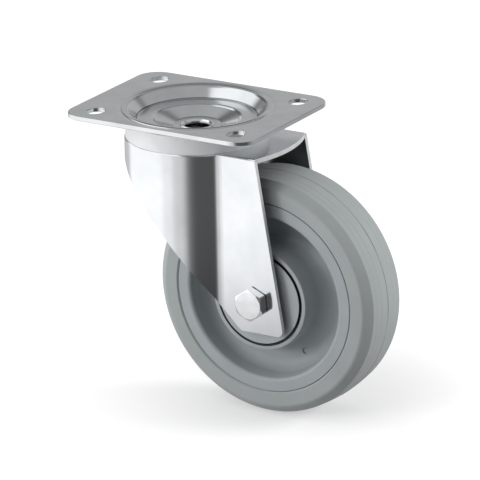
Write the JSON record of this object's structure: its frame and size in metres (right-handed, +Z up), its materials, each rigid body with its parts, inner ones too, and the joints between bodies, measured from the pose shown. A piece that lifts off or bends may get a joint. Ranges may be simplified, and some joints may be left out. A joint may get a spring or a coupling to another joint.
{
  "type": "swivel castor",
  "caption": "Top-plate swivel castor: dished mounting plate with slotted holes, pressed fork on a ball-race head, and a grey rubber-tyred wheel on a bolted axle.",
  "frame": {"origin": "centre of the top plate's upper face, on the swivel axis", "axes": "+X along the wheel's axle, +Y forward, +Z up; the wheel trails towards -Y"},
  "size_m": [0.11, 0.21, 0.1935],
  "materials": {
    "zinc_plated_sheet": "bright zinc plating",
    "plate_zinc": "satin zinc plating",
    "bearing_steel": "polished",
    "zinc_plated_bolt": "bright zinc plating",
    "tube_steel": "drawn",
    "grey_rubber": "matt",
    "grey_nylon": "moulded satin",
    "guard_plastic": "moulded satin",
    "cage_plastic": "moulded satin",
    "insert_nylon": "moulded satin"
  },
  "bodies": {
    "plate": {"top_plate": "plate_zinc", "king_rivet": "zinc_plated_bolt", "lower_race_cup": "zinc_plated_sheet"},
    "ball_sets": {"swivel_balls": "bearing_steel", "upper_ball_cage": "cage_plastic", "lower_ball_cage": "cage_plastic"},
    "fork": {"fork": "zinc_plated_sheet", "upper_race_cup": "zinc_plated_sheet", "axle_bolt": "zinc_plated_bolt", "axle_nut": "zinc_plated_bolt", "nut_insert": "insert_nylon", "nut_washer": "zinc_plated_bolt", "axle_tube": "tube_steel", "thread_guard_left": "guard_plastic", "thread_guard_right": "guard_plastic"},
    "wheel": {"wheel_rim": "grey_nylon", "tyre": "grey_rubber", "hub_sleeve": "tube_steel", "thrust_washer_left": "tube_steel", "thrust_washer_right": "tube_steel"},
    "rollers": {"wheel_rollers": "bearing_steel", "roller_cage": "cage_plastic"}
  },
  "joints": [
    {"name": "swivel", "type": "hinge", "parent": "plate", "child": "fork", "pos_m": [0, 0, 0], "axis": [0, 0, 1], "continuous": true},
    {"name": "swivel_ball_roll", "type": "hinge", "parent": "plate", "child": "ball_sets", "pos_m": [0, 0, 0], "axis": [0, 0, 1], "continuous": true},
    {"name": "wheel_spin", "type": "hinge", "parent": "fork", "child": "wheel", "pos_m": [0, -0.06, -0.1135], "axis": [1, 0, 0], "continuous": true},
    {"name": "roller_orbit", "type": "hinge", "parent": "fork", "child": "rollers", "pos_m": [0, -0.06, -0.1135], "axis": [1, 0, 0], "continuous": true}
  ],
  "couplings": [
    {"joint": "swivel_ball_roll", "follows": "swivel", "ratio": 0.5},
    {"joint": "roller_orbit", "follows": "wheel_spin", "ratio": 0.6016}
  ]
}
